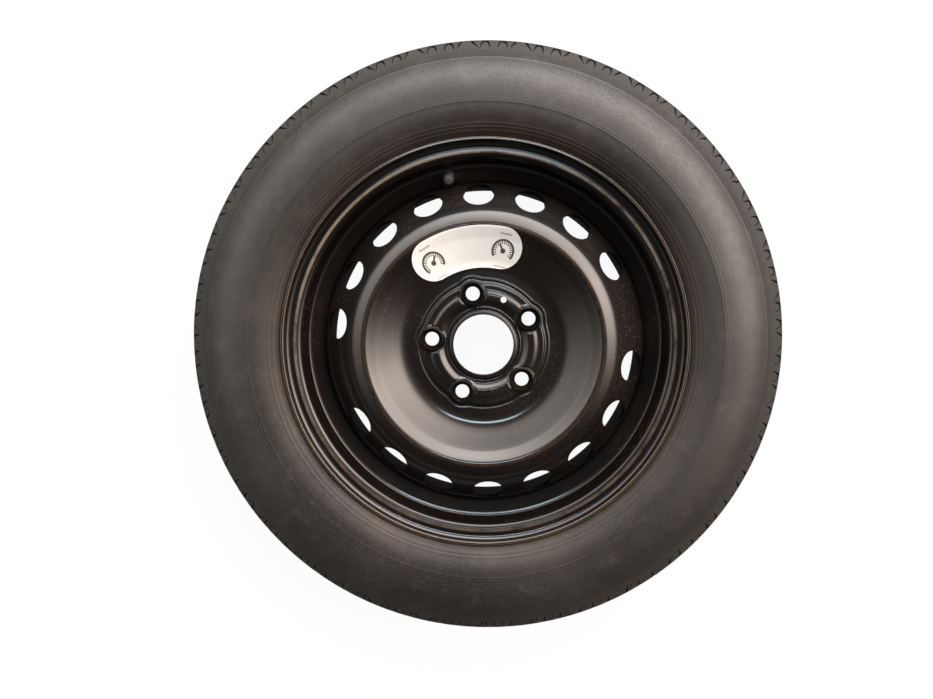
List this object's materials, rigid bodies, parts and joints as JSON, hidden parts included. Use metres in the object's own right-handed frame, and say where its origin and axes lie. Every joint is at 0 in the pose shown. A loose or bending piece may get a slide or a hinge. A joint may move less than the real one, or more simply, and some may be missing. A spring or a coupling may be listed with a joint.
{
  "type": "space saver spare wheel",
  "caption": "Narrow temporary spare wheel: slim tyre on a black pressed-steel wheel with a vented ridge, a bolt circle of conical seats, a blank label on the dish and a tyre valve.",
  "frame": {"origin": "centre of the hub bore, on the face that bolts against the car's hub", "axes": "+Z along the wheel's axis, outboard, and up as the wheel lies flat; +Y towards the tyre valve"},
  "size_m": [0.661, 0.661, 0.147],
  "materials": {
    "tyre_rubber": "dusty matt",
    "black_paint": "satin gloss",
    "label_film": "satin",
    "valve_rubber": "matt",
    "brass": "turned",
    "steel": "bright",
    "seal_rubber": "matt",
    "cap_plastic": "dusty matt"
  },
  "bodies": {
    "wheel": {"tyre": "tyre_rubber", "rim": "black_paint", "wheel_disc": "black_paint", "weld_beads": "black_paint", "speed_label": "label_film", "valve_rubber": "valve_rubber", "valve_stem": "brass", "core_plug": "brass", "core_barrel": "brass", "core_gasket": "seal_rubber", "core_spring": "steel"},
    "pin": {"core_pin": "steel", "core_cup": "brass", "core_seat_seal": "seal_rubber"},
    "seal": {"cap_seal": "seal_rubber"},
    "cap": {"valve_cap": "cap_plastic"}
  },
  "joints": [
    {"name": "pin_press", "type": "slide", "parent": "wheel", "child": "pin", "axis": [0, 0.3322, -0.9432], "range_m": [0, 0.0015], "stiffness_N_per_m": 600, "springref_m": -0.002, "deforming": ["core_spring"]},
    {"name": "cap_lift", "type": "slide", "parent": "wheel", "child": "seal", "axis": [0, -0.3322, 0.9432], "range_m": [0, 0.00635]},
    {"name": "cap_turn", "type": "hinge", "parent": "seal", "child": "cap", "pos_m": [0, 0.17984, 0.01354], "axis": [0, -0.3322, 0.9432], "range_deg": [0, 2880]}
  ],
  "couplings": [
    {"joint": "cap_turn", "follows": "cap_lift", "rad_per_m": 7915.8}
  ]
}
